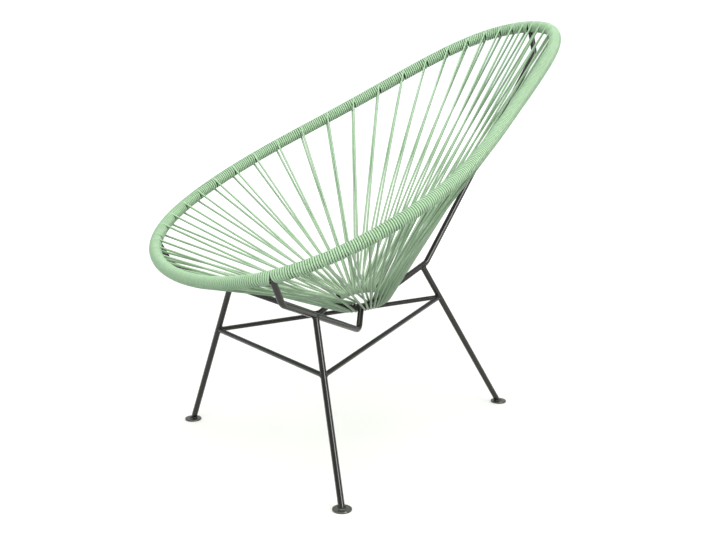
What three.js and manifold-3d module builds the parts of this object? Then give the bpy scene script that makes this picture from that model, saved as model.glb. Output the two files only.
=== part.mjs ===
// A low lounge chair: plastic cord wound on an egg-shaped steel rim and strung down to a small ring,
// carried by three bent arms on three splayed legs. Millimetres, +Z up, the sitter looks along -Y.
import * as THREE from 'three';
import { mergeVertices } from 'three/addons/utils/BufferGeometryUtils.js';
import Module from 'manifold-3d';

const wasm = await Module();
wasm.setup();

// Rim: a closed steel tube, seen from above as an egg, that climbs from the front to the back
const rimHalfWidth = 335;
const rimHalfDepth = 404;
const rimSideHeight = 595;
const rimClimb = 216;
const rimTubeRadius = 7.5;
const rimWidthShares = [1, 0.16, 0.07, 0, 0.012]; // sines of once, twice ... round the rim
const rimDepthShares = [1, -0.004, 0.054, -0.005, -0.01]; // cosines of once, twice ... round the rim
const rimClimbShares = [1, 0.145, 0.008, -0.08]; // powers of the place between front and back

// Bottom ring: where every strand turns back
const ringRadius = 54;
const ringTubeRadius = 6;
const ringMiddleY = -22.5;
const ringMiddleZ = 294.4;
const ringTilt = THREE.MathUtils.degToRad(12.3);

// Cord, its winding on the rim and its strands
const cordRadius = 2.25;
const clearance = 0.3;
const pairCount = 50;
const pairsPerLength = 2;
const pairHalfGap = 2.9; // from the middle of a pair to each of its strands, along the rim
const bunchingShares = [0.01, -0.016, 0.0095]; // pairs stand closer at the front and the top
const ribsPerLength = 5;
const ribDepth = 1.2;
const windingSides = 8;
const coreSteps = 3; // straight stretches of the steel core inside one length of winding
const strandSides = 6;
const turnSteps = 4;

// Room between the faceted core and the faceted bore, measured square to their flats
const boreClearance = clearance / Math.cos(Math.PI / windingSides);

// Arms: bent rods from the rim, under the cords, to the ring
const rodRadius = 6;
const rodSides = 12;
const bendRadius = 20;
const bendSteps = 4;
const frontArmPair = 4.6; // the front arms meet the rim after this many pairs from the front
const ringSlotPair = 6; // and the ring after this many
const frontArmRingAngle = THREE.MathUtils.degToRad(55); // round the ring from its front
const armSideRoom = 16; // a pair stands at least this far from a front arm, along the rim
const armSideReach = 60; // pairs within this distance move aside for it
const frontArmOuterBend = new THREE.Vector3(217, -337, 362);
const frontArmInnerBend = new THREE.Vector3(75, -80, 250);
const rearArmUpperBend = new THREE.Vector3(0, 441, 781);
const rearArmLowerBend = new THREE.Vector3(0, 145.5, 348);
const rearArmOverrun = 9; // past the ring, under which it lies

// Legs, stretchers and feet
const frontFootX = 289;
const frontFootY = -265;
const rearFootY = 362;
const frontLegTopShare = 0.4; // along the straight run of the arm that it carries
const rearLegInset = 12; // from the lower bend of the rear arm
const stretcherRadius = 4;
const stretcherFrontHeight = 217;
const stretcherRearHeight = 269;
const footRadius = 17.5;
const footThickness = 4;
const footEdge = 1.2;
const footCollarRadius = 10.5;
const footCollarTopRadius = 8.5;
const footCollarHeight = 3;
const footSides = 16;
const legSeatHeight = 5; // middle of the leg's end above the floor, inside the foot
const copeShare = 0.5; // a butted rod stops this share of the other's radius short of its axis

const cordMaterial = new THREE.MeshStandardMaterial({ color: 0x96c49c, roughness: 0.42, metalness: 0 });
const frameMaterial = new THREE.MeshStandardMaterial({ color: 0x34332f, roughness: 0.5, metalness: 0.35 });

// The rim's centre line, once round from the middle of the front by way of +X
class RimCurve extends THREE.Curve {
  constructor() {
    super();
    this.arcLengthDivisions = 720;
  }

  getPoint(t, target = new THREE.Vector3()) {
    const angle = 2 * Math.PI * t;
    const across = rimWidthShares.reduce((sum, share, i) => sum + share * Math.sin((i + 1) * angle), 0);
    const along = rimDepthShares.reduce((sum, share, i) => sum - share * Math.cos((i + 1) * angle), 0);
    const climb = rimClimbShares.reduce((sum, share, i) => sum + share * along ** (i + 1), 0);
    return target.set(rimHalfWidth * across, rimHalfDepth * along, rimSideHeight + rimClimb * climb);
  }
}

// A path that an extrusion follows station by station, so that straights cost one step each
class StationPath extends THREE.Curve {
  constructor(stations) {
    super();
    this.stations = stations;
  }

  getPoint(t, target = new THREE.Vector3()) {
    const last = this.stations.length - 1;
    const place = t * last;
    const i = Math.min(Math.floor(place), last - 1);
    return target.lerpVectors(this.stations[i], this.stations[i + 1], place - i);
  }

  getPointAt(u, target) {
    return this.getPoint(u, target);
  }

  getTangentAt(u, target = new THREE.Vector3()) {
    const last = this.stations.length - 1;
    const i = Math.round(u * last);
    const before = this.stations[i].clone().sub(this.stations[Math.max(i - 1, 0)]).normalize();
    const after = this.stations[Math.min(i + 1, last)].clone().sub(this.stations[i]).normalize();
    return target.addVectors(before, after).normalize();
  }
}

const rim = new RimCurve();
const ringMiddle = new THREE.Vector3(0, ringMiddleY, ringMiddleZ);

// Faces between rings of points that follow one another, and back to the first
function loftLoop(rings) {
  const sides = rings[0].length;
  const positions = rings.flat().flatMap((point) => point.toArray());
  const index = [];
  for (let i = 0; i < rings.length; i += 1) {
    const next = (i + 1) % rings.length;
    for (let j = 0; j < sides; j += 1) {
      const k = (j + 1) % sides;
      const corners = [i * sides + j, i * sides + k, next * sides + k, next * sides + j];
      index.push(corners[0], corners[1], corners[3], corners[1], corners[2], corners[3]);
    }
  }
  const geometry = new THREE.BufferGeometry();
  geometry.setAttribute('position', new THREE.Float32BufferAttribute(positions, 3));
  geometry.setIndex(index);
  return geometry;
}

function toSolid(geometry) {
  const bare = geometry.clone();
  bare.deleteAttribute('normal');
  bare.deleteAttribute('uv');
  const merged = mergeVertices(bare);
  return new wasm.Manifold(new wasm.Mesh({
    numProp: 3,
    vertProperties: new Float32Array(merged.attributes.position.array),
    triVerts: new Uint32Array(merged.index.array),
  }));
}

function toGeometry(solid) {
  const { vertProperties, triVerts } = solid.getMesh();
  const geometry = new THREE.BufferGeometry();
  geometry.setAttribute('position', new THREE.Float32BufferAttribute(vertProperties, 3));
  geometry.setIndex(Array.from(triVerts));
  return geometry;
}

// A round bar along a list of stations
function bar(stations, radius, sides) {
  const corners = Array.from({ length: sides }, (unused, i) => {
    const angle = 2 * Math.PI * (i + 0.5) / sides;
    return new THREE.Vector2(radius * Math.cos(angle), radius * Math.sin(angle));
  });
  const geometry = new THREE.ExtrudeGeometry(new THREE.Shape(corners), {
    steps: stations.length - 1,
    extrudePath: new StationPath(stations),
    bevelEnabled: false,
  });
  return toSolid(geometry);
}

// Stations of a rod through its corner points, with a round bend at each inner one
function bentStations(corners) {
  const stations = [corners[0]];
  for (let i = 1; i < corners.length - 1; i += 1) {
    const back = corners[i - 1].clone().sub(corners[i]).normalize();
    const ahead = corners[i + 1].clone().sub(corners[i]).normalize();
    const half = back.angleTo(ahead) / 2;
    const inward = back.clone().add(ahead).normalize();
    const middle = corners[i].clone().addScaledVector(inward, bendRadius / Math.sin(half));
    const start = corners[i].clone().addScaledVector(back, bendRadius / Math.tan(half)).sub(middle);
    const axis = new THREE.Vector3().crossVectors(ahead, back).normalize();
    for (let k = 0; k <= bendSteps; k += 1) {
      const turn = (Math.PI - 2 * half) * k / bendSteps;
      stations.push(start.clone().applyAxisAngle(axis, turn).add(middle));
    }
  }
  stations.push(corners[corners.length - 1]);
  return stations;
}

// Place on the rim, as a share of its length, after a number of pairs from the front
function bareRimShare(pair) {
  const turn = 2 * Math.PI * pair / pairCount;
  return bunchingShares.reduce((sum, share, i) => sum + share * Math.sin((i + 1) * turn), pair / pairCount);
}

// The same for cords, which move aside for the front arms
function rimShare(pair) {
  const share = bareRimShare(pair);
  for (const armPair of [frontArmPair, pairCount - frontArmPair]) {
    const away = (share - bareRimShare(armPair)) * rim.getLength();
    if (Math.abs(away) < armSideReach) {
      const aside = armSideRoom * (1 - Math.abs(away) / armSideReach);
      return share + Math.sign(away) * aside / rim.getLength();
    }
  }
  return share;
}

function wrap(share) {
  return share - Math.floor(share);
}

// Point on the rim's centre line with its direction, and two directions square to it
function rimFrame(share) {
  const point = rim.getPointAt(wrap(share));
  const tangent = rim.getTangentAt(wrap(share));
  const inward = ringMiddle.clone().sub(point);
  inward.addScaledVector(tangent, -inward.dot(tangent)).normalize();
  const side = new THREE.Vector3().crossVectors(tangent, inward);
  return { point, tangent, inward, side };
}

function rimSection(share, radius) {
  const { point, inward, side } = rimFrame(share);
  return Array.from({ length: windingSides }, (unused, i) => {
    const angle = 2 * Math.PI * (i + 0.5) / windingSides;
    return point.clone()
      .addScaledVector(inward, radius * Math.cos(angle))
      .addScaledVector(side, radius * Math.sin(angle));
  });
}

// Where the arms meet the ring: after how many pairs, and how far round from its front
const ringStops = [
  { pair: -ringSlotPair, angle: -frontArmRingAngle },
  { pair: ringSlotPair, angle: frontArmRingAngle },
  { pair: pairCount / 2, angle: Math.PI },
  { pair: pairCount - ringSlotPair, angle: 2 * Math.PI - frontArmRingAngle },
  { pair: pairCount + ringSlotPair, angle: 2 * Math.PI + frontArmRingAngle },
];
const stopRoom = Math.asin((rodRadius + cordRadius + 3 * clearance) / ringRadius);

// How far round the ring a number of pairs is: even steps between arms, and room at each arm
function ringAngle(pair) {
  const next = ringStops.findIndex((stop) => stop.pair >= pair);
  const end = ringStops[next];
  if (end.pair === pair) {
    return end.angle;
  }
  const start = ringStops[next - 1];
  const step = (end.angle - start.angle - 2 * stopRoom) / (end.pair - start.pair - 1);
  return start.angle + stopRoom + step * (pair - start.pair - 0.5);
}

// Place on the ring after a number of pairs from the front
function ringFrame(pair) {
  const angle = ringAngle(pair) - Math.PI / 2;
  const tip = new THREE.Vector3(1, 0, 0);
  const point = new THREE.Vector3(Math.cos(angle), Math.sin(angle), 0).multiplyScalar(ringRadius);
  const tangent = new THREE.Vector3(-Math.sin(angle), Math.cos(angle), 0);
  return {
    point: point.applyAxisAngle(tip, ringTilt).add(ringMiddle),
    tangent: tangent.applyAxisAngle(tip, ringTilt),
  };
}

// Direction square to a tube and to the strand that leaves it, on the sitter's side
function sitterSide(tangent, direction) {
  const normal = new THREE.Vector3().crossVectors(tangent, direction).normalize();
  return normal.z < 0 ? normal.negate() : normal;
}

// One strand from the rim's inner side down round the ring and back to the rim's underside
function strandPair(pair) {
  const share = rimShare(pair);
  const step = pairHalfGap / rim.getLength();
  const middle = rimFrame(share);
  const ring = ringFrame(pair);
  const down = ring.point.clone().sub(middle.point).normalize();
  const atRim = sitterSide(middle.tangent, down);
  const atRing = sitterSide(ring.tangent, down);
  const across = down.clone().addScaledVector(ring.tangent, -down.dot(ring.tangent)).normalize();
  const rimReach = rimTubeRadius + clearance + cordRadius;
  const turnReach = (ringTubeRadius + clearance + cordRadius) / Math.cos(Math.PI / turnSteps / 2);
  const first = rimFrame(share - step).point.clone().addScaledVector(atRim, rimReach);
  const last = rimFrame(share + step).point.clone().addScaledVector(atRim, -rimReach);
  const stations = [first.addScaledVector(down, -cordRadius)];
  for (let k = 0; k <= turnSteps; k += 1) {
    const angle = Math.PI * k / turnSteps;
    stations.push(ring.point.clone()
      .addScaledVector(atRing, turnReach * Math.cos(angle))
      .addScaledVector(across, turnReach * Math.sin(angle)));
  }
  stations.push(last.addScaledVector(down, -cordRadius));
  return bar(stations, cordRadius, strandSides);
}

// Winding on the rim between two places: ribs outside, the steel core's bore inside
function winding(startPair, endPair) {
  const endGap = clearance / 2 / rim.getLength();
  const start = rimShare(startPair) + endGap;
  const end = rimShare(endPair) - endGap;
  const crest = rimTubeRadius + clearance + 2 * cordRadius;
  const bands = 2 * ribsPerLength;
  const rings = [];
  for (let i = 0; i <= bands; i += 1) {
    rings.push(rimSection(start + (end - start) * i / bands, i % 2 ? crest : crest - ribDepth));
  }
  for (let i = coreSteps; i >= 0; i -= 1) {
    rings.push(rimSection(start + (end - start) * i / coreSteps, rimTubeRadius + boreClearance));
  }
  return toSolid(loftLoop(rings));
}

function rimTube(radius) {
  const lengths = pairCount / pairsPerLength;
  const rings = [];
  for (let i = 0; i < lengths; i += 1) {
    const start = rimShare(i * pairsPerLength);
    const end = rimShare((i + 1) * pairsPerLength);
    for (let k = 0; k < coreSteps; k += 1) {
      rings.push(rimSection(start + (end - start) * k / coreSteps, radius));
    }
  }
  return toSolid(loftLoop(rings));
}

function bottomRing(radius) {
  const geometry = new THREE.TorusGeometry(ringRadius, radius, rodSides, pairCount);
  geometry.rotateX(ringTilt);
  geometry.translate(ringMiddle.x, ringMiddle.y, ringMiddle.z);
  return toSolid(geometry);
}

// End of a rod that butts on a tube: short of the tube's axis, where the cope is cut
function buttPoint(target, from, radius) {
  return target.clone().addScaledVector(from.clone().sub(target).normalize(), copeShare * radius);
}

function mirrored(point) {
  return new THREE.Vector3(-point.x, point.y, point.z);
}

function frontArmCorners() {
  const onRim = rimFrame(bareRimShare(frontArmPair)).point;
  const onRing = ringFrame(ringSlotPair).point;
  return [
    buttPoint(onRim, frontArmOuterBend, rimTubeRadius),
    frontArmOuterBend,
    frontArmInnerBend,
    buttPoint(onRing, frontArmInnerBend, ringTubeRadius),
  ];
}

// The rear arm runs on under the back of the ring, one rod's thickness below it
function rearArmCorners() {
  const onRim = rimFrame(rimShare(pairCount / 2)).point;
  const onRing = ringFrame(pairCount / 2).point;
  const toRing = onRing.clone().sub(rearArmLowerBend);
  const distance = toRing.length();
  const drop = Math.asin((ringTubeRadius + rodRadius + clearance) / distance);
  const run = toRing.clone().applyAxisAngle(new THREE.Vector3(1, 0, 0), drop).normalize();
  const end = rearArmLowerBend.clone().addScaledVector(run, distance * Math.cos(drop) + rearArmOverrun);
  return {
    corners: [buttPoint(onRim, rearArmUpperBend, rimTubeRadius), rearArmUpperBend, rearArmLowerBend, end],
    legTop: rearArmLowerBend.clone().addScaledVector(run, rearLegInset),
  };
}

function atHeight(foot, top, height) {
  return foot.clone().lerp(top, height / top.z);
}

function legEnds(foot, top) {
  return { low: atHeight(foot, top, legSeatHeight), high: buttPoint(top, foot, rodRadius) };
}

function footDisc(foot) {
  const flat = footRadius - footEdge;
  const profile = [
    new THREE.Vector2(0, 0),
    new THREE.Vector2(flat, 0),
    new THREE.Vector2(footRadius, footEdge),
    new THREE.Vector2(footRadius, footThickness - footEdge),
    new THREE.Vector2(flat, footThickness),
    new THREE.Vector2(footCollarRadius, footThickness),
    new THREE.Vector2(footCollarTopRadius, footThickness + footCollarHeight),
    new THREE.Vector2(0, footThickness + footCollarHeight),
  ];
  const geometry = new THREE.LatheGeometry(profile, footSides);
  geometry.rotateX(Math.PI / 2);
  geometry.translate(foot.x, foot.y, foot.z);
  return toSolid(geometry);
}

const chair = new THREE.Group();
function addPiece(name, solid, material) {
  const mesh = new THREE.Mesh(toGeometry(solid), material);
  mesh.name = name;
  chair.add(mesh);
}

// Rods, with the same rods a little fatter to cut their neighbours
const front = frontArmCorners();
const rear = rearArmCorners();
const armPaths = {
  arm_front_right: bentStations(front),
  arm_front_left: bentStations(front.map(mirrored)),
  arm_rear: bentStations(rear.corners),
};
const feet = {
  front_right: new THREE.Vector3(frontFootX, frontFootY, 0),
  front_left: new THREE.Vector3(-frontFootX, frontFootY, 0),
  rear: new THREE.Vector3(0, rearFootY, 0),
};
const frontLegTop = frontArmOuterBend.clone().lerp(frontArmInnerBend, frontLegTopShare);
const legTops = { front_right: frontLegTop, front_left: mirrored(frontLegTop), rear: rear.legTop };

const tubeCutter = rimTube(rimTubeRadius + boreClearance);
const ringCutter = bottomRing(ringTubeRadius + clearance);
const armCutters = {};
const legCutters = {};
for (const [name, stations] of Object.entries(armPaths)) {
  armCutters[name] = bar(stations, rodRadius + clearance, rodSides);
  addPiece(name, bar(stations, rodRadius, rodSides).subtract(tubeCutter).subtract(ringCutter), frameMaterial);
}
for (const [name, foot] of Object.entries(feet)) {
  const { low, high } = legEnds(foot, legTops[name]);
  const seatLow = low.clone().addScaledVector(low.clone().sub(high).normalize(), clearance);
  legCutters[name] = bar([seatLow, high], rodRadius + clearance, rodSides);
  const leg = bar([low, high], rodRadius, rodSides).subtract(armCutters[`arm_${name}`]);
  addPiece(`leg_${name}`, leg, frameMaterial);
  addPiece(`foot_${name}`, footDisc(foot).subtract(legCutters[name]), frameMaterial);
}
addPiece('rim_tube', rimTube(rimTubeRadius), frameMaterial);
addPiece('bottom_ring', bottomRing(ringTubeRadius), frameMaterial);

// Stretchers: one across the front and one up to the rear leg on each side
const frontJoint = atHeight(feet.front_right, legTops.front_right, stretcherFrontHeight);
const rearJoint = atHeight(feet.rear, legTops.rear, stretcherRearHeight);
const sideReach = 2 * frontFootX;

function stretcher(from, to, radius) {
  return bar([buttPoint(from, to, rodRadius), buttPoint(to, from, rodRadius)], radius, rodSides)
    .subtract(legCutters.front_right)
    .subtract(legCutters.front_left)
    .subtract(legCutters.rear);
}

// Everything on one side of the chair's middle plane, less half a clearance
function sideBlock(sign) {
  const geometry = new THREE.BoxGeometry(sideReach, 2 * sideReach, 2 * sideReach);
  geometry.translate(sign * (sideReach + clearance) / 2, 0, 0);
  return toSolid(geometry);
}

addPiece('stretcher_front', stretcher(frontJoint, mirrored(frontJoint), stretcherRadius), frameMaterial);
const crossCutter = bar([frontJoint, mirrored(frontJoint)], stretcherRadius + clearance, rodSides);
for (const [name, joint, sign] of [['right', frontJoint, 1], ['left', mirrored(frontJoint), -1]]) {
  const side = stretcher(joint, rearJoint, stretcherRadius).subtract(crossCutter).intersect(sideBlock(sign));
  addPiece(`stretcher_${name}`, side, frameMaterial);
}

// The cord in lengths of two pairs each, with room where an arm comes through to the steel
for (let pair = 0; pair < pairCount; pair += pairsPerLength) {
  let cord = winding(pair, pair + pairsPerLength);
  for (let k = 0; k < pairsPerLength; k += 1) {
    cord = cord.add(strandPair(pair + k + 0.5));
  }
  for (const cutter of Object.values(armCutters)) {
    cord = cord.subtract(cutter);
  }
  const number = String(pair / pairsPerLength + 1).padStart(2, '0');
  addPiece(`seat_cord_${number}`, cord, cordMaterial);
}

// The origin is on the floor, in the middle of the chair's depth
const box = new THREE.Box3().setFromObject(chair);
chair.position.y = -(box.min.y + box.max.y) / 2;

export default chair;
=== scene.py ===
# Cord lounge chair: the looks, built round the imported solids. Metres, +Z up, the sitter looks along -Y.
import math

import bpy
import numpy as np
from mathutils import Matrix, Vector


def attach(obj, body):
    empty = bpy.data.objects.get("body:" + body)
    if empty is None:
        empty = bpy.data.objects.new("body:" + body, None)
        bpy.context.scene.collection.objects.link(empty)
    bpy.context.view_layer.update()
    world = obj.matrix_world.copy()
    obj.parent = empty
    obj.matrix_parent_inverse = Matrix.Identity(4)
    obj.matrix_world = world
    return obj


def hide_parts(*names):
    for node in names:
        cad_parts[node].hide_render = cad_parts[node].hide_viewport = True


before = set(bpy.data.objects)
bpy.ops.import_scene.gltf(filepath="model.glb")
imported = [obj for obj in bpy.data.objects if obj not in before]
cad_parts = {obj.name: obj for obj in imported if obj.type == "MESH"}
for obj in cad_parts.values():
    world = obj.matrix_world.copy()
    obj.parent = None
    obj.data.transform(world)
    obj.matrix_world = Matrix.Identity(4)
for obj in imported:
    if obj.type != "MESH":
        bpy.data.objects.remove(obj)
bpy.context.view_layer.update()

print("stage 1: solids loaded")


nodeGrid = {"columns": 8, "across": 200, "down": 280}  # where a tree's nodes stand in the editor


def linear(hexColour):  # an sRGB hex colour as the linear RGBA that a shader takes
    shares = [int(hexColour[i:i + 2], 16) / 255 for i in (1, 3, 5)]
    return [c / 12.92 if c <= 0.04045 else ((c + 0.055) / 1.055) ** 2.4 for c in shares] + [1]


def addNode(tree, kind, inputs=None, **settings):  # inputs: socket name or number, to value or output
    node = tree.nodes.new(kind)
    row, column = divmod(len(tree.nodes), nodeGrid["columns"])
    node.location = (nodeGrid["across"] * column, -nodeGrid["down"] * row)
    for name, value in settings.items():
        setattr(node, name, value)
    for key, value in (inputs or {}).items():
        if isinstance(value, bpy.types.NodeSocket):
            tree.links.new(value, node.inputs[key])
        else:
            node.inputs[key].default_value = value
    return node


def unit(vectors):
    return vectors / np.linalg.norm(vectors, axis=-1, keepdims=True)


def aimed(direction):  # the turn that points a lamp or camera in a direction
    return Vector(direction).to_track_quat("-Z", "Y").to_euler()


def addObject(name, data):
    made = bpy.data.objects.new(name, data)
    bpy.context.scene.collection.objects.link(made)
    return made


def startMaterial(name):
    material = bpy.data.materials.new(name)
    material.use_nodes = True
    return material, material.node_tree, material.node_tree.nodes["Principled BSDF"]


# Extruded PVC cord, dyed through: a smooth half-gloss skin with faint die lines and a green that drifts,
# with painted shade on the free strands and in the grooves between turns
pvcLook = {
    "colour": "#B0D1B1",
    "driftColour": "#A6C8A7",
    "strandShadeColour": "#98B292",    # free runs: painted shade, darker and greyer than the windings
    "driftSize": 0.09,            # length over which the dye drifts
    "driftDetail": 2.0,
    "grooveShadeColour": "#6C8C5D",    # painted shade between neighbouring turns
    "grooveShadeShares": (0.3, 0.95),  # of the cord's radius, from where the painted shade starts to where it is full
    "ior": 1.53,
    "roughness": (0.34, 0.44),
    "smearSize": 0.02,            # handling marks that dull the gloss
    "smearDetail": 3.0,
    "dieLine": 0.0009,            # real ones are about 0.1 mm wide, drawn coarser so that they show
    "dieLineStretch": 0.02,       # a line's width over its length along the cord
    "dieLineHeight": 0.00008,
    "dieLineDetail": 1.0,
    "dieLineStrength": 0.5,
}


def makePvc(look):
    material, tree, shader = startMaterial("extruded PVC cord")
    place = addNode(tree, "ShaderNodeTexCoord").outputs["Object"]
    drift = addNode(tree, "ShaderNodeTexNoise", {
        "Vector": place, "Scale": 1 / look["driftSize"], "Detail": look["driftDetail"]})
    colour = addNode(tree, "ShaderNodeMix", {
        0: drift.outputs["Fac"], 6: linear(look["colour"]), 7: linear(look["driftColour"])},
        data_type="RGBA")
    beside = addNode(tree, "ShaderNodeAttribute", attribute_name="beside")  # zero on strands
    held = addNode(tree, "ShaderNodeVectorMath", {0: beside.outputs["Vector"]}, operation="LENGTH")
    # painted shade: the free strands, where "beside" is zero, take the darker strand colour
    skin = addNode(tree, "ShaderNodeMix", {
        0: held.outputs["Value"], 6: linear(look["strandShadeColour"]), 7: colour.outputs[2]},
        data_type="RGBA")
    # painted shade in the grooves between turns: darker where the normal points along the rim
    facing = addNode(tree, "ShaderNodeVectorMath", {
        0: addNode(tree, "ShaderNodeNewGeometry").outputs["Normal"], 1: beside.outputs["Vector"]},
        operation="DOT_PRODUCT")
    aside = addNode(tree, "ShaderNodeMath", {0: facing.outputs["Value"]}, operation="ABSOLUTE")
    grooveShadeAmount = addNode(tree, "ShaderNodeMapRange", {
        "Value": aside.outputs[0],
        "From Min": look["grooveShadeShares"][0], "From Max": look["grooveShadeShares"][1]})
    grooveShaded = addNode(tree, "ShaderNodeMix", {
        0: grooveShadeAmount.outputs["Result"], 6: skin.outputs[2], 7: linear(look["grooveShadeColour"])},
        data_type="RGBA")
    smear = addNode(tree, "ShaderNodeTexNoise", {
        "Vector": place, "Scale": 1 / look["smearSize"], "Detail": look["smearDetail"]})
    gloss = addNode(tree, "ShaderNodeMapRange", {
        "Value": smear.outputs["Fac"],
        "To Min": look["roughness"][0], "To Max": look["roughness"][1]})
    along = addNode(tree, "ShaderNodeAttribute", attribute_name="along")
    section = addNode(tree, "ShaderNodeAttribute", attribute_name="section")
    length = addNode(tree, "ShaderNodeCombineXYZ", {"Z": along.outputs["Fac"]})
    onSkin = addNode(tree, "ShaderNodeVectorMath", {
        0: length.outputs["Vector"], 1: (0, 0, look["dieLineStretch"]), 2: section.outputs["Vector"]},
        operation="MULTIPLY_ADD")
    lines = addNode(tree, "ShaderNodeTexNoise", {
        "Vector": onSkin.outputs["Vector"], "Scale": 1 / look["dieLine"],
        "Detail": look["dieLineDetail"]})
    bump = addNode(tree, "ShaderNodeBump", {
        "Strength": look["dieLineStrength"], "Distance": look["dieLineHeight"],
        "Height": lines.outputs["Fac"]})
    shader.inputs["IOR"].default_value = look["ior"]
    tree.links.new(grooveShaded.outputs[2], shader.inputs["Base Color"])
    tree.links.new(gloss.outputs["Result"], shader.inputs["Roughness"])
    tree.links.new(bump.outputs["Normal"], shader.inputs["Normal"])
    return material


# Powder-coated steel: a baked satin film over rod and weld alike, with orange peel and duller patches
coatLook = {
    "colour": "#12110E",
    "patchColour": "#1A1814",
    "patchSize": 0.05,
    "patchDetail": 4.0,
    "ior": 1.5,
    "roughness": (0.18, 0.26),
    "peelSize": 0.0016,     # from one swell of the film to the next
    "peelHeight": 0.00005,
    "peelDetail": 1.0,
    "peelStrength": 0.6,
}


def makeCoat(look):
    material, tree, shader = startMaterial("powder-coated steel")
    place = addNode(tree, "ShaderNodeTexCoord").outputs["Object"]
    patch = addNode(tree, "ShaderNodeTexNoise", {
        "Vector": place, "Scale": 1 / look["patchSize"], "Detail": look["patchDetail"]})
    colour = addNode(tree, "ShaderNodeMix", {
        0: patch.outputs["Fac"], 6: linear(look["colour"]), 7: linear(look["patchColour"])},
        data_type="RGBA")
    gloss = addNode(tree, "ShaderNodeMapRange", {
        "Value": patch.outputs["Fac"],
        "To Min": look["roughness"][0], "To Max": look["roughness"][1]})
    peel = addNode(tree, "ShaderNodeTexNoise", {
        "Vector": place, "Scale": 1 / look["peelSize"], "Detail": look["peelDetail"]})
    bump = addNode(tree, "ShaderNodeBump", {
        "Strength": look["peelStrength"], "Distance": look["peelHeight"],
        "Height": peel.outputs["Fac"]})
    shader.inputs["IOR"].default_value = look["ior"]
    tree.links.new(colour.outputs[2], shader.inputs["Base Color"])
    tree.links.new(gloss.outputs["Result"], shader.inputs["Roughness"])
    tree.links.new(bump.outputs["Normal"], shader.inputs["Normal"])
    return material


pvc = makePvc(pvcLook)
coat = makeCoat(coatLook)
print("stage 2: materials made")


def startTree(name, sizes):  # sizes: socket name to "Float", "Int" or "Material"
    tree = bpy.data.node_groups.new(name, "GeometryNodeTree")
    tree.interface.new_socket("Geometry", in_out="INPUT", socket_type="NodeSocketGeometry")
    for label, kind in sizes.items():
        tree.interface.new_socket(label, in_out="INPUT", socket_type="NodeSocket" + kind)
    tree.interface.new_socket("Geometry", in_out="OUTPUT", socket_type="NodeSocketGeometry")
    return tree, addNode(tree, "NodeGroupInput").outputs


def sweepAndFinish(tree, given, curve, scale=1.0):  # a round section along the curve, then the material
    measured = addNode(tree, "GeometryNodeStoreNamedAttribute", {
        "Geometry": curve, "Name": "along",
        "Value": addNode(tree, "GeometryNodeSplineParameter").outputs["Length"]},
        data_type="FLOAT", domain="POINT")
    circle = addNode(tree, "GeometryNodeCurvePrimitiveCircle", {
        "Resolution": given["Sides"], "Radius": given["Radius"]})
    section = addNode(tree, "GeometryNodeStoreNamedAttribute", {
        "Geometry": circle.outputs["Curve"], "Name": "section",
        "Value": addNode(tree, "GeometryNodeInputPosition").outputs["Position"]},
        data_type="FLOAT_VECTOR", domain="POINT")
    swept = addNode(tree, "GeometryNodeCurveToMesh", {
        "Curve": measured.outputs["Geometry"], "Profile Curve": section.outputs["Geometry"],
        "Scale": scale, "Fill Caps": True})
    smooth = addNode(tree, "GeometryNodeSetShadeSmooth", {"Geometry": swept.outputs["Mesh"]})
    real = addNode(tree, "GeometryNodeRealizeInstances", {"Geometry": smooth.outputs["Geometry"]})
    dressed = addNode(tree, "GeometryNodeSetMaterial", {
        "Geometry": real.outputs["Geometry"], "Material": given["Material"]})
    addNode(tree, "NodeGroupOutput", {"Geometry": dressed.outputs["Geometry"]})


def bentBarTree():  # straight runs between corner points, with a round bend at each inner one
    tree, given = startTree("bent round bar", {
        "Radius": "Float", "Sides": "Int", "Bend Radius": "Float", "Bend Steps": "Int",
        "Material": "Material"})
    line = addNode(tree, "GeometryNodeMeshToCurve", {"Mesh": given["Geometry"]})
    bent = addNode(tree, "GeometryNodeFilletCurve", {
        "Curve": line.outputs["Curve"], "Count": given["Bend Steps"], "Radius": given["Bend Radius"],
        "Limit Radius": True}, mode="POLY")
    sweepAndFinish(tree, given, bent.outputs["Curve"])
    return tree


def loopTree():  # a closed loop; with a ripple it is a weld bead laid in overlapping drops
    tree, given = startTree("round loop", {
        "Radius": "Float", "Sides": "Int", "Ripple Length": "Float", "Ripple Depth": "Float",
        "Material": "Material"})
    line = addNode(tree, "GeometryNodeMeshToCurve", {"Mesh": given["Geometry"]})
    place = addNode(tree, "GeometryNodeSplineParameter").outputs["Length"]
    drops = addNode(tree, "ShaderNodeMath", {0: place, 1: given["Ripple Length"]}, operation="DIVIDE")
    phase = addNode(tree, "ShaderNodeMath", {0: drops.outputs[0], 1: 2 * math.pi}, operation="MULTIPLY")
    wave = addNode(tree, "ShaderNodeMath", {0: phase.outputs[0]}, operation="SINE")
    swell = addNode(tree, "ShaderNodeMath", {
        0: wave.outputs[0], 1: given["Ripple Depth"], 2: 1.0}, operation="MULTIPLY_ADD")
    sweepAndFinish(tree, given, line.outputs["Curve"], swell.outputs[0])
    return tree


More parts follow.
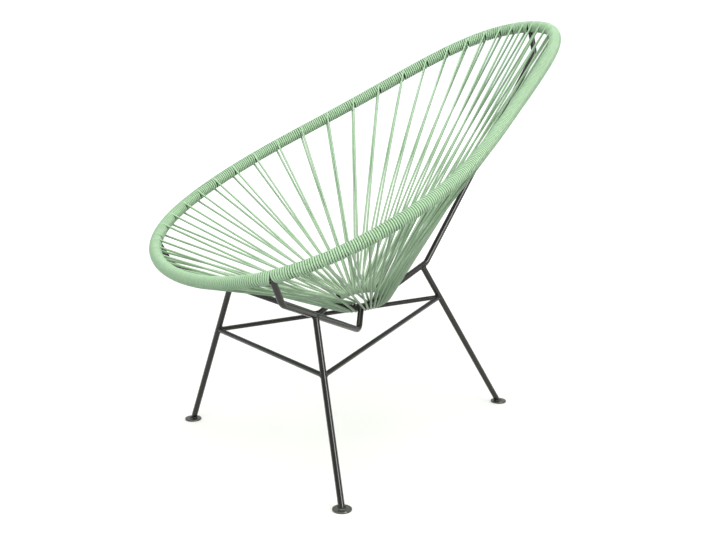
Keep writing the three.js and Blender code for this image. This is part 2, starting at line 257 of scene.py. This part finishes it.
def woundCordTree():  # the rim's line becomes turns round it; where "outer" is zero the cord runs free
    tree, given = startTree("wound cord", {
        "Radius": "Float", "Sides": "Int", "Reach": "Float", "Wander": "Float",
        "Wander Size": "Float", "Seed": "Float", "Material": "Material"})
    line = addNode(tree, "GeometryNodeMeshToCurve", {"Mesh": given["Geometry"]})
    turn = addNode(tree, "GeometryNodeInputNamedAttribute", {"Name": "turn"}, data_type="FLOAT")
    outer = addNode(tree, "GeometryNodeInputNamedAttribute", {"Name": "outer"}, data_type="FLOAT_VECTOR")
    under = addNode(tree, "GeometryNodeInputNamedAttribute", {"Name": "under"}, data_type="FLOAT_VECTOR")
    angle = addNode(tree, "ShaderNodeMath", {
        0: turn.outputs["Attribute"], 1: 2 * math.pi}, operation="MULTIPLY")
    sine = addNode(tree, "ShaderNodeMath", {0: angle.outputs[0]}, operation="SINE")
    cosine = addNode(tree, "ShaderNodeMath", {0: angle.outputs[0]}, operation="COSINE")
    outward = addNode(tree, "ShaderNodeVectorMath", {
        "Vector": outer.outputs["Attribute"], "Scale": sine.outputs[0]}, operation="SCALE")
    downward = addNode(tree, "ShaderNodeVectorMath", {
        "Vector": under.outputs["Attribute"], "Scale": cosine.outputs[0]}, operation="SCALE")
    direction = addNode(tree, "ShaderNodeVectorMath", {
        0: outward.outputs["Vector"], 1: downward.outputs["Vector"]}, operation="ADD")
    spacing = addNode(tree, "ShaderNodeMath", {0: 1.0, 1: given["Wander Size"]}, operation="DIVIDE")
    noise = addNode(tree, "ShaderNodeTexNoise", {
        "Vector": addNode(tree, "GeometryNodeInputPosition").outputs["Position"], "W": given["Seed"],
        "Scale": spacing.outputs[0], "Detail": 1.0}, noise_dimensions="4D")
    reach = addNode(tree, "ShaderNodeMath", {
        0: noise.outputs["Fac"], 1: given["Wander"], 2: given["Reach"]}, operation="MULTIPLY_ADD")
    offset = addNode(tree, "ShaderNodeVectorMath", {
        "Vector": direction.outputs["Vector"], "Scale": reach.outputs[0]}, operation="SCALE")
    wound = addNode(tree, "GeometryNodeSetPosition", {
        "Geometry": line.outputs["Curve"], "Offset": offset.outputs["Vector"]})
    sweepAndFinish(tree, given, wound.outputs["Geometry"])
    return tree


barTree = bentBarTree()
roundLoopTree = loopTree()
cordTree = woundCordTree()
print("stage 3: node trees built")


def lineMesh(name, lines, closed=False, attributes=None):  # lines that a tree turns into rods or cord
    edges = []
    start = 0
    for line in lines:
        edges += [(start + i, start + i + 1) for i in range(len(line) - 1)]
        edges += [(start + len(line) - 1, start)] if closed else []
        start += len(line)
    mesh = bpy.data.meshes.new(name)
    mesh.from_pydata(np.concatenate(lines).tolist(), edges, [])
    for label, values in (attributes or {}).items():
        flat = np.ndim(values) == 1
        layer = mesh.attributes.new(label, "FLOAT" if flat else "FLOAT_VECTOR", "POINT")
        layer.data.foreach_set("value" if flat else "vector", np.ravel(values))
    return mesh


def grow(name, tree, mesh, sizes, slot, *nodes):  # runs a tree on a mesh and keeps the plain result
    piece = addObject(name, mesh)
    modifier = piece.modifiers.new(tree.name, "NODES")
    modifier.node_group = tree
    sockets = {
        item.name: item.identifier for item in tree.interface.items_tree if item.in_out == "INPUT"}
    for label, value in sizes.items():
        modifier[sockets[label]] = value
    bpy.context.view_layer.update()
    view = bpy.context.evaluated_depsgraph_get()
    made = bpy.data.meshes.new_from_object(
        piece.evaluated_get(view), preserve_all_data_layers=True, depsgraph=view)
    made.name = name
    piece.modifiers.clear()
    piece.data = made
    bpy.data.meshes.remove(mesh)
    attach(piece, "root")
    if nodes:
        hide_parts(*nodes)
    return piece


# Rim: a closed tube, an egg seen from above, climbing from the front to the back
rimSizes = {
    "halfWidth": 0.335,
    "halfDepth": 0.404,
    "sideHeight": 0.595,
    "climb": 0.216,
    "widthShares": (1, 0.16, 0.07, 0, 0.012),          # sines of once, twice ... round the rim
    "depthShares": (1, -0.004, 0.054, -0.005, -0.01),  # cosines of the same
    "climbShares": (1, 0.145, 0.008, -0.08),           # powers of the place between front and back
    "setBack": -0.007435,                              # puts the chair's middle depth at the origin
    "tubeRadius": 0.0075,
    "sides": 24,
    "points": 300,
    "measureSteps": 7200,     # that its length is added up from
    "directionStep": 0.0001,  # share of the way round, to each side, that its direction is taken over
}


def rimLine(share):
    angle = 2 * math.pi * np.asarray(share)
    across = sum(s * np.sin((i + 1) * angle) for i, s in enumerate(rimSizes["widthShares"]))
    along = -sum(s * np.cos((i + 1) * angle) for i, s in enumerate(rimSizes["depthShares"]))
    climb = sum(s * along ** (i + 1) for i, s in enumerate(rimSizes["climbShares"]))
    return np.stack([
        rimSizes["halfWidth"] * across,
        rimSizes["halfDepth"] * along + rimSizes["setBack"],
        rimSizes["sideHeight"] + rimSizes["climb"] * climb], axis=-1)


rimShares = np.linspace(0, 1, rimSizes["measureSteps"] + 1)
rimSteps = np.linalg.norm(np.diff(rimLine(rimShares), axis=0), axis=1)
rimLengths = np.concatenate([[0], np.cumsum(rimSteps)])
rimLength = rimLengths[-1]


def rimAt(distance):  # point and direction of the rim's middle line, so far from the front by way of +X
    share = np.interp(np.mod(distance, rimLength), rimLengths, rimShares)
    step = rimSizes["directionStep"]
    return rimLine(share), unit(rimLine(share + step) - rimLine(share - step))


# Ring: where every strand turns back. Arms meet it in three wider steps between the strands
ringSizes = {
    "radius": 0.054,
    "rodRadius": 0.006,
    "middle": (0, -0.0225 + rimSizes["setBack"], 0.2944),
    "tilt": math.radians(12.3),
    "frontArmPair": 6,                  # a front arm meets the ring after so many pairs from the front
    "frontArmAngle": math.radians(55),  # round the ring from its front
    "sides": 24,
    "points": 96,
}
ringTip = np.array(Matrix.Rotation(ringSizes["tilt"], 3, "X"))


def ringAt(angle):  # point and direction of the ring's middle line; angle 0 is at +X
    point = ringSizes["radius"] * np.array([math.cos(angle), math.sin(angle), 0])
    tangent = np.array([-math.sin(angle), math.cos(angle), 0])
    return ringTip @ point + ringSizes["middle"], ringTip @ tangent


# Cord: wound on the rim and strung to the ring in pairs, one unbroken line from end to end
cordSizes = {
    "radius": 0.00225,
    "clearance": 0.0003,
    "pairs": 50,
    "pairsPerLength": 2,       # pairs in one piece of the cord
    "bunchingShares": (0.01, -0.016, 0.0095),  # pairs stand closer at the front and the top
    "pairHalfGap": 0.0029,     # from the middle of a pair to each strand, along the rim
    "pitch": 0.00447,
    "leastTurns": 3,           # between two pairs
    "stepsPerTurn": 20,
    "sides": 10,
    "ringSteps": 12,
    "ringClearances": 3,       # between an arm and the strands beside it at the ring
    "closeTurns": 4,           # that lean towards a pair, so that it leaves no gap on top of the rim
    "leanShift": 0.08,         # share of a turn by which the lean's middle is past the top
    "leanFirmness": 1.6,       # above 1 the lean stays whole for longer
    "crossGap": 0.0034,        # to each side, so that a pair's strands pass one another
    "wander": 0.0003,          # how much a turn's distance from the rim varies in all
    "wanderSize": 0.012,
    "seed": 7.0,               # of the wander
    "rodRoom": 0.0086,         # turns part this far on each side of an arm's middle
    "rodSpread": 0.030,        # and close up again within this distance
    "rodFirmness": 1.5,        # how soon round the rim the parting fades
}
quarterTurn = 0.25  # a winding stops this far short of each strand, which takes over

# Arms, as far as the cord makes room for them
armSizes = {
    "rodRadius": 0.006,
    "rimPairs": {"armFrontRight": 4.6, "armRear": 25, "armFrontLeft": 45.4},  # pairs from the front
    "room": 0.016,             # pairs stand this far from a front arm
    "reach": 0.060,            # and those within this distance move aside for it
}


def armPlace(pair):  # distance along the rim, after a number of pairs from the front
    turn = 2 * math.pi * pair / cordSizes["pairs"]
    bunching = sum(s * math.sin((i + 1) * turn) for i, s in enumerate(cordSizes["bunchingShares"]))
    return (pair / cordSizes["pairs"] + bunching) * rimLength


def rimPlace(pair):  # the same for cords, which move aside for the front arms
    place = armPlace(pair)
    for name in ("armFrontRight", "armFrontLeft"):
        away = place - armPlace(armSizes["rimPairs"][name])
        if abs(away) < armSizes["reach"]:
            return place + math.copysign(armSizes["room"] * (1 - abs(away) / armSizes["reach"]), away)
    return place


frontSlot, pairCount = ringSizes["frontArmPair"], cordSizes["pairs"]
frontAngle = ringSizes["frontArmAngle"]
ringStops = [  # the arms, each by its number of pairs and its angle from the front
    (-frontSlot, -frontAngle),
    (frontSlot, frontAngle),
    (pairCount / 2, math.pi),
    (pairCount - frontSlot, 2 * math.pi - frontAngle),
    (pairCount + frontSlot, 2 * math.pi + frontAngle),
]
stopGap = cordSizes["ringClearances"] * cordSizes["clearance"]
stopRoom = math.asin((armSizes["rodRadius"] + cordSizes["radius"] + stopGap) / ringSizes["radius"])


def ringPlace(pair):  # angle on the ring: even steps between arms, and room at each arm
    for (startPair, startAngle), (endPair, endAngle) in zip(ringStops, ringStops[1:]):
        if pair == endPair:
            return endAngle - math.pi / 2
        if startPair < pair < endPair:
            step = (endAngle - startAngle - 2 * stopRoom) / (endPair - startPair - 1)
            return startAngle + stopRoom + step * (pair - startPair - 0.5) - math.pi / 2


def sitterSide(tangent, direction):  # square to the strands' surface, on the upper side
    normal = unit(np.cross(tangent, direction))
    return -normal if normal[2] < 0 else normal


# Arms, legs and stretchers: round rod, bent and welded
frameSizes = {
    "stretcherRadius": 0.0047,  # 0.7 mm more than in the solids, as the photo has it
    "bendRadius": 0.020,
    "bendSteps": 10,
    "sides": 20,
    "frontOuterBend": (0.217, -0.337 + rimSizes["setBack"], 0.362),
    "frontInnerBend": (0.075, -0.080 + rimSizes["setBack"], 0.250),
    "rearUpperBend": (0, 0.441 + rimSizes["setBack"], 0.781),
    "rearLowerBend": (0, 0.1455 + rimSizes["setBack"], 0.348),
    "rearOverrun": 0.009,       # past the ring, under which the rear arm lies
    "frontFoot": (0.289, -0.265 + rimSizes["setBack"], 0),
    "rearFoot": (0, 0.362 + rimSizes["setBack"], 0),
    "frontLegTopShare": 0.4,    # along the straight run of the arm that it carries
    "rearLegInset": 0.012,      # from the lower bend of the rear arm
    "legSeat": 0.005,           # middle of the leg's end above the floor, inside the foot
    "frontStretcherHeight": 0.217,
    "rearStretcherHeight": 0.269,
}


def mirrored(point):
    return np.asarray(point) * (-1, 1, 1)


def atHeight(foot, top, height):
    return foot + (top - foot) * height / top[2]


frontBends = [np.array(frameSizes["frontOuterBend"]), np.array(frameSizes["frontInnerBend"])]
ringJoint, ringJointLine = ringAt(ringPlace(ringSizes["frontArmPair"]))
frontArm = [rimAt(armPlace(armSizes["rimPairs"]["armFrontRight"]))[0], *frontBends, ringJoint]
frontLegTop = frontBends[0] + (frontBends[1] - frontBends[0]) * frameSizes["frontLegTopShare"]

rearBends = [np.array(frameSizes["rearUpperBend"]), np.array(frameSizes["rearLowerBend"])]
ringBack = ringAt(ringPlace(pairCount / 2))[0]
toRing = ringBack - rearBends[1]
rodsApart = ringSizes["rodRadius"] + armSizes["rodRadius"] + cordSizes["clearance"]
rearDrop = math.asin(rodsApart / np.linalg.norm(toRing))
rearRun = unit(np.array(Matrix.Rotation(rearDrop, 3, "X")) @ toRing)
underRing = rearBends[1] + rearRun * np.linalg.norm(toRing) * math.cos(rearDrop)
rearEnd = underRing + rearRun * frameSizes["rearOverrun"]
rearArm = [rimAt(armPlace(armSizes["rimPairs"]["armRear"]))[0], *rearBends, rearEnd]
rearLegTop = rearBends[1] + rearRun * frameSizes["rearLegInset"]

armCorners = {
    "armFrontRight": frontArm,
    "armFrontLeft": [mirrored(p) for p in frontArm],
    "armRear": rearArm,
}
legTops = {"FrontRight": frontLegTop, "FrontLeft": mirrored(frontLegTop), "Rear": rearLegTop}
feet = {
    "FrontRight": np.array(frameSizes["frontFoot"]),
    "FrontLeft": mirrored(frameSizes["frontFoot"]),
    "Rear": np.array(frameSizes["rearFoot"]),
}
joints = {side: atHeight(feet[side], legTops[side], frameSizes["frontStretcherHeight"])
          for side in ("FrontRight", "FrontLeft")}
joints["Rear"] = atHeight(feet["Rear"], legTops["Rear"], frameSizes["rearStretcherHeight"])


def nodeName(name):  # a piece's name as the solid that it replaces has it
    return "".join("_" + c.lower() if c.isupper() else c for c in name)


def bar(name, corners, radius):
    grow(name, barTree, lineMesh(name + "Line", [np.array(corners)]), {
        "Radius": radius, "Sides": frameSizes["sides"], "Bend Radius": frameSizes["bendRadius"],
        "Bend Steps": frameSizes["bendSteps"], "Material": coat}, "frame", nodeName(name))


for name, corners in armCorners.items():
    bar(name, corners, armSizes["rodRadius"])
for side, foot in feet.items():
    ends = [atHeight(foot, legTops[side], frameSizes["legSeat"]), legTops[side]]
    bar("leg" + side, ends, armSizes["rodRadius"])
stretcherEnds = {
    "Front": ("FrontLeft", "FrontRight"),
    "Right": ("FrontRight", "Rear"),
    "Left": ("FrontLeft", "Rear"),
}
for name, ends in stretcherEnds.items():
    bar("stretcher" + name, [joints[end] for end in ends], frameSizes["stretcherRadius"])
print("stage 4: arms, legs and stretchers bent")


# Steel loops: the rim's tube under its cord, and the ring
def smoothLoop(name, points, radius, sides):  # without the ripple of a weld bead
    grow(name, roundLoopTree, lineMesh(name + "Line", [points], closed=True), {
        "Radius": radius, "Sides": sides, "Ripple Length": 1.0, "Ripple Depth": 0.0,
        "Material": coat}, "frame", nodeName(name))


rimPlaces = np.linspace(0, rimLength, rimSizes["points"], endpoint=False)
smoothLoop("rimTube", rimAt(rimPlaces)[0], rimSizes["tubeRadius"], rimSizes["sides"])
ringAngles = np.linspace(0, 2 * math.pi, ringSizes["points"], endpoint=False)
ringPoints = np.array([ringAt(angle)[0] for angle in ringAngles])
smoothLoop("bottomRing", ringPoints, ringSizes["rodRadius"], ringSizes["sides"])
print("stage 5: rim tube and ring made")

# Foot: a pressed steel disc with rounded edges and a low collar round the leg
footSizes = {
    "radius": 0.0175,
    "thickness": 0.004,
    "edge": 0.0012,
    "edgeSteps": 4,
    "collarRadius": 0.0088,
    "collarTopRadius": 0.0078,
    "collarHeight": 0.0018,
    "sides": 64,
}
footLook = {  # the same coat, lighter, with pale mottled patches
    **coatLook,
    "colour": "#22221E",
    "patchColour": "#44443C",
    "patchSize": 0.006,
    "ior": 1.8,
}
footCoat = makeCoat(footLook)


def footMesh(name, middle):
    size = footSizes
    edge, thickness = size["edge"], size["thickness"]
    collar, collarTop = size["collarRadius"], size["collarTopRadius"]
    flat = size["radius"] - edge
    quarter = [math.pi / 2 * k / size["edgeSteps"] for k in range(size["edgeSteps"] + 1)]
    lower = [(flat + edge * math.sin(a), edge * (1 - math.cos(a))) for a in quarter]
    upper = [(radius, thickness - height) for radius, height in reversed(lower)]
    top = thickness + size["collarHeight"]
    profile = [  # radius and height of each circle of points; the close ones keep the flat top flat
        *lower,
        *upper,
        (flat - edge / 2, thickness),
        (collar + edge, thickness),
        (collar + edge / 2, thickness),
        (collar, thickness + edge / 2),
        (collarTop + edge / 3, top - edge / 3),
        (collarTop, top),
    ]
    sides = size["sides"]
    turns = [2 * math.pi * k / sides for k in range(sides)]
    circles = [(r * math.cos(a), r * math.sin(a), z) for r, z in profile for a in turns]
    points = [(0, 0, 0), *circles, (0, 0, top)]
    faces = [(0, 1 + (k + 1) % sides, 1 + k) for k in range(sides)]
    for ring in range(len(profile) - 1):
        low, high = 1 + ring * sides, 1 + (ring + 1) * sides
        faces += [
            (low + k, low + (k + 1) % sides, high + (k + 1) % sides, high + k) for k in range(sides)]
    last = 1 + (len(profile) - 1) * sides
    faces += [(last + k, last + (k + 1) % sides, len(points) - 1) for k in range(sides)]
    mesh = bpy.data.meshes.new(name)
    mesh.from_pydata((np.array(points) + middle).tolist(), [], faces)
    mesh.polygons.foreach_set("use_smooth", [len(f) == 4 for f in faces])
    mesh.materials.append(footCoat)
    return mesh


for side, middle in feet.items():
    foot = addObject("foot" + side, footMesh("foot" + side, middle))
    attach(foot, "root")
    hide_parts(nodeName("foot" + side))
print("stage 6: feet made")

# Weld beads: each follows the line where one rod meets another
weldSizes = {
    "radius": 0.0016,
    "drop": 0.0026,                 # length of one drop of the bead
    "rippleDepth": 0.14,
    "sides": 8,
    "points": 72,
    "underRing": (0.0052, 0.0040),  # half length and half width of the weld between ring and rear arm
}
beadAngles = np.linspace(0, 2 * math.pi, weldSizes["points"], endpoint=False)[:, None]


def saddle(middle, direction, line, radius, otherRadius):  # where a rod leaves another's surface
    direction, line = unit(direction), unit(line)
    side = unit(np.cross(direction, line))
    ahead = np.cross(side, direction)
    offset = radius * (np.cos(beadAngles) * side + np.sin(beadAngles) * ahead)
    squareOffset = offset - (offset @ line)[:, None] * line
    squareWay = direction - (direction @ line) * line
    a = squareWay @ squareWay
    b = squareOffset @ squareWay
    c = (squareOffset ** 2).sum(axis=1) - otherRadius ** 2
    reach = (-b + np.sqrt(np.maximum(b * b - a * c, 0))) / a
    return middle + offset + reach[:, None] * direction


def atPlane(middle, direction, height, radius):  # where a rod passes a level plane
    direction = unit(direction)
    side = unit(np.cross(direction, (0, 0, 1)))
    ahead = np.cross(side, direction)
    offset = middle + radius * (np.cos(beadAngles) * side + np.sin(beadAngles) * ahead)
    return offset + ((height - offset[:, 2]) / direction[2])[:, None] * direction


armRun = frontBends[1] - frontBends[0]
legLines = {side: legTops[side] - foot for side, foot in feet.items()}
rodRadius, thinRadius = armSizes["rodRadius"], frameSizes["stretcherRadius"]
collarTop = footSizes["thickness"] + footSizes["collarHeight"]
rightJoint, rightLeg = joints["FrontRight"], legLines["FrontRight"]
beads = [
    saddle(ringJoint, frontBends[1] - ringJoint, ringJointLine, rodRadius, ringSizes["rodRadius"]),
    saddle(frontLegTop, -rightLeg, armRun, rodRadius, rodRadius),
    saddle(rightJoint, joints["FrontLeft"] - rightJoint, rightLeg, thinRadius, rodRadius),
    saddle(rightJoint, joints["Rear"] - rightJoint, rightLeg, thinRadius, rodRadius),
    saddle(joints["Rear"], rightJoint - joints["Rear"], legLines["Rear"], thinRadius, rodRadius),
    atPlane(feet["FrontRight"], rightLeg, collarTop, rodRadius),
]
beads += [mirrored(bead) for bead in beads]
beads.append(saddle(rearLegTop, -legLines["Rear"], rearRun, rodRadius, rodRadius))
beads.append(atPlane(feet["Rear"], legLines["Rear"], collarTop, rodRadius))
contact = (ringBack + underRing) / 2
beads.append(contact + weldSizes["underRing"][0] * np.cos(beadAngles) * np.array([1, 0, 0])
             + weldSizes["underRing"][1] * np.sin(beadAngles) * rearRun)
grow("weldBeads", roundLoopTree, lineMesh("weldLines", beads, closed=True), {
    "Radius": weldSizes["radius"], "Sides": weldSizes["sides"], "Ripple Length": weldSizes["drop"],
    "Ripple Depth": weldSizes["rippleDepth"], "Material": coat}, "frame")
print("stage 7: joints welded")


def strandPair(i):  # what one pair needs at the rim and round the ring
    distance = rimPlace(i + 0.5)
    point, tangent = rimAt(distance)
    ringPoint, ringTangent = ringAt(ringPlace(i + 0.5))
    down = unit(ringPoint - point)
    atRing = sitterSide(ringTangent, down)
    across = unit(down - ringTangent * (down @ ringTangent))
    reach = ringSizes["rodRadius"] + cordSizes["clearance"] + cordSizes["radius"]
    angles = np.linspace(0, math.pi, cordSizes["ringSteps"] + 1)[:, None]
    return {
        "distance": distance,
        "under": -sitterSide(tangent, down),
        "outer": -unit(down - tangent * (down @ tangent)),
        "roundRing": ringPoint + reach * (np.sin(angles) * across - np.cos(angles) * atRing)
        + cordSizes["crossGap"] * (2 * angles / math.pi - 1) * ringTangent,
    }


pairs = [strandPair(i) for i in range(cordSizes["pairs"])]


def leaning(turn):  # share of a turn's lean: all over the top, and most of it down the inner face
    shift, firmness = cordSizes["leanShift"], cordSizes["leanFirmness"]
    return np.clip(-firmness * np.cos(2 * math.pi * (turn - shift)), 0, 1)


def wound(j):  # turns from pair j - 1 to pair j: up from the underside, round the outside, to the top
    before, after = pairs[j - 1], pairs[j % len(pairs)]
    start = before["distance"]
    span = (after["distance"] - start) % rimLength
    count = max(cordSizes["leastTurns"], round(span / cordSizes["pitch"]))
    pitch = span / count
    steps = cordSizes["stepsPerTurn"]
    turn = np.arange(int((count - 2 * quarterTurn) * steps) + 1) / steps
    back = turn[-1] - turn
    nearStart, nearEnd = np.clip(1 - turn / quarterTurn, 0, 1), np.clip(1 - back / quarterTurn, 0, 1)
    lean = cordSizes["pairHalfGap"] - quarterTurn * pitch
    place = pitch * (turn + quarterTurn) + lean * (nearStart ** 2 - nearEnd ** 2)
    close = cordSizes["pairHalfGap"] + (1 - quarterTurn) * pitch - 2 * cordSizes["radius"]
    fade = cordSizes["closeTurns"]
    place -= close * leaning(turn) * np.clip(1 - turn / fade, 0, 1)
    place += close * leaning(back) * np.clip(1 - back / fade, 0, 1)
    share = (place / span)[:, None]
    outer = before["outer"] * (1 - share) + after["outer"] * share
    under = before["under"] * (1 - share) + after["under"] * share
    for name, pair in armSizes["rimPairs"].items():
        if j - 0.5 < pair < j + 0.5:  # the arm comes through these turns
            middle = armPlace(pair) - start
            at = np.abs(place - middle).argmin()
            place = partedRound(name, place, middle, span, pitch, turn, outer[at], under[at])
    point, tangent = rimAt(start + place)
    outer = unit(outer - tangent * (outer * tangent).sum(axis=1, keepdims=True))
    square = np.cross(tangent, outer)
    under = square * np.sign((square * under).sum(axis=1, keepdims=True))
    cut = np.abs(place - (rimPlace(j) - start) % rimLength).argmin()
    return {"point": point, "turn": turn, "outer": outer, "under": under, "beside": tangent}, cut


def partedRound(name, place, middle, span, pitch, turn, outer, under):  # turns lean apart for an arm
    corners = armCorners[name]
    way = unit(corners[1] - corners[0])
    armTurn = math.atan2(way @ outer, way @ under) / (2 * math.pi)
    passing = np.round(turn - armTurn)
    away = pitch * (passing + armTurn + quarterTurn) - middle
    room = cordSizes["rodRoom"]
    reach = np.minimum(cordSizes["rodSpread"], np.where(away < 0, middle, span - middle))
    wanted = np.where(away < 0, -1, 1) * (room + (reach - room) * np.abs(away) / reach)
    push = np.where(np.abs(away) < reach, wanted - away, 0)
    atArm = 0.5 + 0.5 * np.cos(2 * math.pi * (turn - armTurn))
    return place + push * atArm ** cordSizes["rodFirmness"]


def strandRun(i):  # round the ring; a pair's strands are the straight runs to it and back up
    point = pairs[i]["roundRing"]
    still = np.zeros_like(point)
    return {"point": point, "turn": still[:, 0], "outer": still, "under": still, "beside": still}


cordLength = 0.0
turnReach = rimSizes["tubeRadius"] + cordSizes["clearance"] + cordSizes["radius"]
turnReach -= cordSizes["wander"] / 2
pairsPerLength = cordSizes["pairsPerLength"]
for k in range(cordSizes["pairs"] // pairsPerLength):
    first = k * pairsPerLength
    opening, openingCut = wound(first)
    closing, closingCut = wound(first + pairsPerLength)
    runs = [{key: values[openingCut:] for key, values in opening.items()}, strandRun(first)]
    for i in range(first + 1, first + pairsPerLength):
        runs += [wound(i)[0], strandRun(i)]
    runs.append({key: values[:closingCut + 1] for key, values in closing.items()})
    joined = {key: np.concatenate([run[key] for run in runs]) for key in runs[0]}
    name = f"seatCord{k + 1:02d}"
    line = lineMesh(name + "Line", [joined["point"]], attributes={
        key: joined[key] for key in ("turn", "outer", "under", "beside")})
    piece = grow(name, cordTree, line, {
        "Radius": cordSizes["radius"], "Sides": cordSizes["sides"], "Reach": turnReach,
        "Wander": cordSizes["wander"], "Wander Size": cordSizes["wanderSize"],
        "Seed": cordSizes["seed"], "Material": pvc}, "cord", f"seat_cord_{k + 1:02d}")
    alongCord = np.zeros(len(piece.data.vertices))
    piece.data.attributes["along"].data.foreach_get("value", alongCord)
    cordLength += alongCord.max()
print(f"stage 8: cord wound and strung, {cordLength:.1f} m of it")

# Studio: white paper that glows brighter further out, as it does under backdrop lamps, in a pale room
studio = {
    "floorSize": 24.0,
    "floorColour": "#F6F6F4",
    "floorRoughness": 0.9,
    "glow": (0.1, 0.75),          # of the paper, near the chair and far from it
    "glowReach": (0.9, 4.0),
    "roomColour": "#F8FFFE",
    "roomLight": (0.38, 0.62),    # from below and from above
    "roomEdge": (-0.25, 0.05),    # heights of direction between which the one becomes the other
    "roomSeen": 1.15,             # where the camera looks past the paper
    "lamps": {
        "overhead": {"place": (0.2, -0.1, 3.2), "size": (3.4, 3.4), "power": 54, "colour": "#FFFDF8"},
        "front": {"place": (2.0, -2.5, 1.8), "size": (1.8, 1.6), "power": 44, "colour": "#FFFDF8"},
        "back": {"place": (3.1, 0.6, 1.7), "size": (1.8, 1.8), "power": 44, "colour": "#FFF6EC"},
        "strip": {"place": (3.0, 0.2, 1.35), "size": (1.0, 2.4), "power": 95, "colour": "#FFFFFF"},
    },
    "aim": (0.1, 0, 0.35),
    "onlyInGloss": ("strip",),    # lamps that are a gleam and light nothing else
    "notInGloss": ("front", "back"),
}

floorMesh = bpy.data.meshes.new("studioFloor")
half = studio["floorSize"] / 2
floorCorners = [(-half, -half, 0), (half, -half, 0), (half, half, 0), (-half, half, 0)]
floorMesh.from_pydata(floorCorners, [], [(0, 1, 2, 3)])
floor = addObject("studioFloor", floorMesh)
paper, tree, paperShader = startMaterial("matte studio paper")
away = addNode(tree, "ShaderNodeVectorMath", {
    0: addNode(tree, "ShaderNodeTexCoord").outputs["Object"]}, operation="LENGTH")
glow = addNode(tree, "ShaderNodeMapRange", {
    "Value": away.outputs["Value"],
    "From Min": studio["glowReach"][0], "From Max": studio["glowReach"][1],
    "To Min": studio["glow"][0], "To Max": studio["glow"][1]})
paperShader.inputs["Base Color"].default_value = linear(studio["floorColour"])
paperShader.inputs["Roughness"].default_value = studio["floorRoughness"]
paperShader.inputs["Emission Color"].default_value = linear(studio["floorColour"])
tree.links.new(glow.outputs["Result"], paperShader.inputs["Emission Strength"])
floorMesh.materials.append(paper)
floor.visible_diffuse = False  # its glow whitens the backdrop and leaves the shade under the seat

world = bpy.data.worlds.new("studioRoom")
bpy.context.scene.world = world
world.use_nodes = True
world.node_tree.nodes.clear()
seen = addNode(world.node_tree, "ShaderNodeLightPath")
way = addNode(world.node_tree, "ShaderNodeSeparateXYZ", {
    "Vector": addNode(world.node_tree, "ShaderNodeTexCoord").outputs["Generated"]})
lower = addNode(world.node_tree, "ShaderNodeMapRange", {
    "Value": way.outputs["Z"], "From Min": studio["roomEdge"][0], "From Max": studio["roomEdge"][1],
    "To Min": studio["roomLight"][0], "To Max": studio["roomLight"][1]})
strength = addNode(world.node_tree, "ShaderNodeMapRange", {
    "Value": seen.outputs["Is Camera Ray"],
    "To Min": lower.outputs["Result"], "To Max": studio["roomSeen"]})
room = addNode(world.node_tree, "ShaderNodeBackground", {
    "Color": linear(studio["roomColour"]), "Strength": strength.outputs["Result"]})
addNode(world.node_tree, "ShaderNodeOutputWorld", {"Surface": room.outputs["Background"]})

for name, lamp in studio["lamps"].items():
    light = bpy.data.lights.new(name + "Light", "AREA")
    light.shape = "RECTANGLE"
    light.size, light.size_y = lamp["size"]
    light.energy = lamp["power"]
    light.color = linear(lamp["colour"])[:3]
    holder = addObject(name + "Light", light)
    holder.location = lamp["place"]
    holder.rotation_euler = aimed(Vector(studio["aim"]) - Vector(lamp["place"]))
    holder.visible_diffuse = name not in studio["onlyInGloss"]
    holder.visible_glossy = name not in studio["notInGloss"]

# Camera: where the photograph was taken from
cameraSizes = {
    "place": (1.7122, -1.2313, 0.7648),
    "look": (-0.8046, 0.5612, -0.1942),
    "lens": 53.045,
    "sensor": 36.0,
}
camera = addObject("camera", bpy.data.cameras.new("camera"))
camera.data.lens = cameraSizes["lens"]
camera.data.sensor_width = cameraSizes["sensor"]
camera.location = cameraSizes["place"]
camera.rotation_euler = aimed(cameraSizes["look"])
bpy.context.scene.camera = camera
bpy.context.scene.view_settings.view_transform = "Standard"
print("stage 9: studio and camera set")
